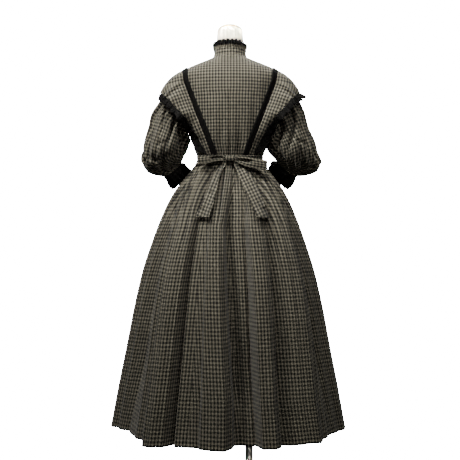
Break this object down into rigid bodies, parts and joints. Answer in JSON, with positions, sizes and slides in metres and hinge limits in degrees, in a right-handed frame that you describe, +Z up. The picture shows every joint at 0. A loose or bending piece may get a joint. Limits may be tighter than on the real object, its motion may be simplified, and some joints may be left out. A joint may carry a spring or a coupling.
{
  "type": "checked dress on a limbless dress form with stand",
  "caption": "Gathered checked cotton dress with puffed sleeves, shoulder capes, lace frills and a back sash bow, worn by a limbless dress form on a pole stand.",
  "frame": {"origin": "point on the underside of the stand's base, on the floor under the middle of the dress's waist", "axes": "+Z up, +Y out of the dress's back where the bow is, +X to the wearer's left"},
  "size_m": [0.8416, 0.8422, 1.6326],
  "materials": {
    "checked_cotton": "matt woven cotton in a small beige and black check",
    "black_lace": "matt gathered lace",
    "black_braid": "dull woven braid",
    "form_cover": "smooth cream cover cloth",
    "gold_rim": "pale gilt",
    "dark_steel": "dark satin metal"
  },
  "bodies": {
    "root": {"bodice_back": "checked_cotton", "bodice_front": "checked_cotton", "skirt_back": "checked_cotton", "skirt_front": "checked_cotton", "sleeve_left": "checked_cotton", "sleeve_right": "checked_cotton", "collar": "checked_cotton", "collar_frill": "checked_cotton", "bretelle_left": "checked_cotton", "bretelle_right": "checked_cotton", "sash_left": "checked_cotton", "sash_right": "checked_cotton", "bow_knot": "checked_cotton", "bow_loop_left": "checked_cotton", "bow_loop_right": "checked_cotton", "tail_left": "checked_cotton", "tail_right": "checked_cotton", "cuff_left": "black_lace", "cuff_right": "black_lace", "collar_lace": "black_lace", "bretelle_lace_left": "black_lace", "bretelle_lace_right": "black_lace", "trim_left": "black_braid", "trim_right": "black_braid", "form_body": "form_cover", "neck_cap": "gold_rim", "stand_pole": "dark_steel", "stand_base": "dark_steel", "stand_flange": "dark_steel"}
  },
  "joints": []
}
